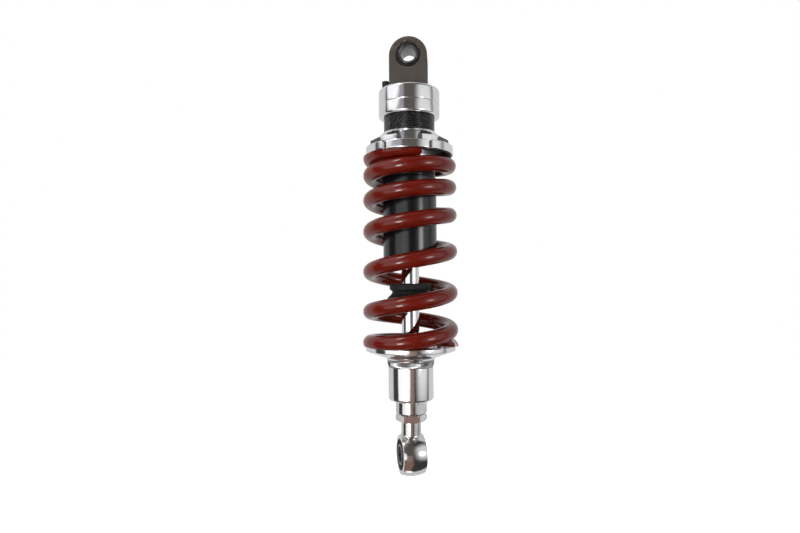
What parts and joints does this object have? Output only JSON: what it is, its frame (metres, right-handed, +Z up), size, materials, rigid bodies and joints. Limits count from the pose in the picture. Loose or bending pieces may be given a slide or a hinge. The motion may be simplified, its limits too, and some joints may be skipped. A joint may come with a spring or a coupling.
{
  "type": "motorcycle rear shock absorber",
  "caption": "Coil-over rear shock absorber with a tang eye on top, threaded preload rings, a long red coil spring, a chromed rod with bump stop and a swivelling lower bearing eye.",
  "frame": {"origin": "centre of the upper eye's bore", "axes": "+Z up along the shock's axis from the lower eye to the upper eye, Y along the upper bore, -Y is the front"},
  "size_m": [0.0863, 0.0862, 0.395],
  "materials": {
    "bearing_steel": "dark phosphated, ground",
    "black_anodised": "satin black anodised",
    "black_plastic": "ribbed, matt",
    "black_rubber": "matt moulded",
    "black_steel": "black oxide",
    "brass": "turned",
    "bronze": "sintered bronze with grey liner",
    "chrome": "hard chrome, ground and polished",
    "dark_anodised": "dark warm grey satin, fine bead-blasted",
    "machined_aluminium": "turned, satin",
    "polished_aluminium": "turned and polished",
    "red_coating": "glossy dark red powder coat",
    "seal_polymer": "dark green-grey polymer",
    "zinc_steel": "bright turned steel"
  },
  "bodies": {
    "damper_body": {"upper_eye": "dark_anodised", "upper_bush_rubber": "black_rubber", "head_cap": "polished_aluminium", "head_oring": "black_rubber", "lower_collar": "polished_aluminium", "gas_valve": "brass", "valve_core": "brass", "body_tube": "black_anodised", "seal_head": "machined_aluminium", "seal_head_oring": "black_rubber", "guide_bush": "bronze", "rod_seal": "seal_polymer", "dust_wiper": "black_rubber", "seal_head_clip": "black_steel"},
    "upper_bush_sleeve": {"upper_sleeve": "zinc_steel"},
    "gas_valve_cap": {"valve_cap": "black_plastic"},
    "gas_piston": {"floating_piston": "machined_aluminium", "floating_piston_oring": "black_rubber"},
    "preload_washer": {"thrust_washer": "black_steel"},
    "preload_adjuster": {"adjuster_ring": "polished_aluminium"},
    "preload_lock": {"lock_ring": "polished_aluminium"},
    "spring_seat": {"lower_spring_seat": "polished_aluminium", "main_spring": "red_coating"},
    "rod_assembly": {"damper_rod": "chrome", "piston": "machined_aluminium", "piston_band": "seal_polymer", "compression_shims": "zinc_steel", "rebound_shims": "zinc_steel", "stop_washer": "zinc_steel", "topout_bumper": "seal_polymer", "piston_nut": "zinc_steel", "lower_cup": "polished_aluminium", "rod_end": "zinc_steel", "detent_ball": "chrome", "detent_spring": "zinc_steel"},
    "bump_rubber": {"bump_stop": "black_rubber"},
    "rebound_ring": {"rebound_adjuster": "machined_aluminium"},
    "rebound_rod": {"rebound_needle": "zinc_steel", "needle_cross_pin": "zinc_steel"},
    "length_lock": {"lock_nut": "zinc_steel"},
    "eye_end": {"lower_eye": "zinc_steel", "bearing_race": "bearing_steel", "bearing_clips": "black_steel", "bearing_seals": "black_rubber"},
    "bearing": {"bearing_ball": "bearing_steel"},
    "bolt_spacers": {"eye_spacers": "bearing_steel"}
  },
  "joints": [
    {"name": "suspension_stroke", "type": "slide", "parent": "damper_body", "child": "spring_seat", "axis": [0, 0, 1], "range_m": [0, 0.051], "stiffness_N_per_m": 90000, "deforming": ["main_spring"]},
    {"name": "rod_swivel", "type": "hinge", "parent": "spring_seat", "child": "rod_assembly", "pos_m": [0, 0, -0.2745], "axis": [0, 0, 1], "continuous": true},
    {"name": "bump_stop_slide", "type": "slide", "parent": "rod_assembly", "child": "bump_rubber", "axis": [0, 0, -1], "range_m": [0, 0.0331]},
    {"name": "gas_piston_slide", "type": "slide", "parent": "damper_body", "child": "gas_piston", "axis": [0, 0, 1], "range_m": [0, 0.0082]},
    {"name": "preload_slide", "type": "slide", "parent": "damper_body", "child": "preload_washer", "axis": [0, 0, -1], "range_m": [0, 0.01], "deforming": ["main_spring"]},
    {"name": "adjuster_ring_turn", "type": "hinge", "parent": "preload_washer", "child": "preload_adjuster", "pos_m": [0, 0, -0.0865], "axis": [0, 0, -1], "range_deg": [0, 2401]},
    {"name": "lock_ring_turn", "type": "hinge", "parent": "preload_washer", "child": "preload_lock", "pos_m": [0, 0, -0.0765], "axis": [0, 0, -1], "range_deg": [0, 2401]},
    {"name": "rebound_click", "type": "hinge", "parent": "rod_assembly", "child": "rebound_ring", "pos_m": [0, 0, -0.2778], "axis": [0, 0, 1], "range_deg": [0, 300.5]},
    {"name": "needle_slide", "type": "slide", "parent": "rod_assembly", "child": "rebound_rod", "axis": [0, 0, 1], "range_m": [0, 0.0008]},
    {"name": "lock_nut_turn", "type": "hinge", "parent": "rod_assembly", "child": "length_lock", "pos_m": [0, 0, -0.3267], "axis": [0, 0, 1], "range_deg": [-90, 0]},
    {"name": "length_adjust", "type": "slide", "parent": "rod_assembly", "child": "eye_end", "axis": [0, 0, -1], "range_m": [0, 0.006]},
    {"name": "bearing_tilt", "type": "hinge", "parent": "eye_end", "child": "bearing", "pos_m": [0, 0, -0.36], "axis": [0, 0, 1], "range_deg": [-4, 4]},
    {"name": "spacer_turn", "type": "hinge", "parent": "bearing", "child": "bolt_spacers", "pos_m": [0, 0, -0.36], "axis": [0.9563, 0.2924, 0], "range_deg": [-20, 20]},
    {"name": "upper_bush_twist", "type": "hinge", "parent": "damper_body", "child": "upper_bush_sleeve", "pos_m": [0, 0, 0], "axis": [0, 1, 0], "range_deg": [-10, 10], "stiffness_Nm_per_rad": 8},
    {"name": "valve_cap_off", "type": "slide", "parent": "damper_body", "child": "gas_valve_cap", "axis": [0, 0, 1], "range_m": [0, 0.01]}
  ],
  "couplings": [
    {"joint": "bump_stop_slide", "follows": "suspension_stroke", "ratio": 0.64706},
    {"joint": "gas_piston_slide", "follows": "suspension_stroke", "ratio": 0.16},
    {"joint": "adjuster_ring_turn", "follows": "preload_slide", "rad_per_m": 4188.8},
    {"joint": "lock_ring_turn", "follows": "preload_slide", "rad_per_m": 4188.8},
    {"joint": "rebound_click", "follows": "needle_slide", "rad_per_m": 6545}
  ]
}
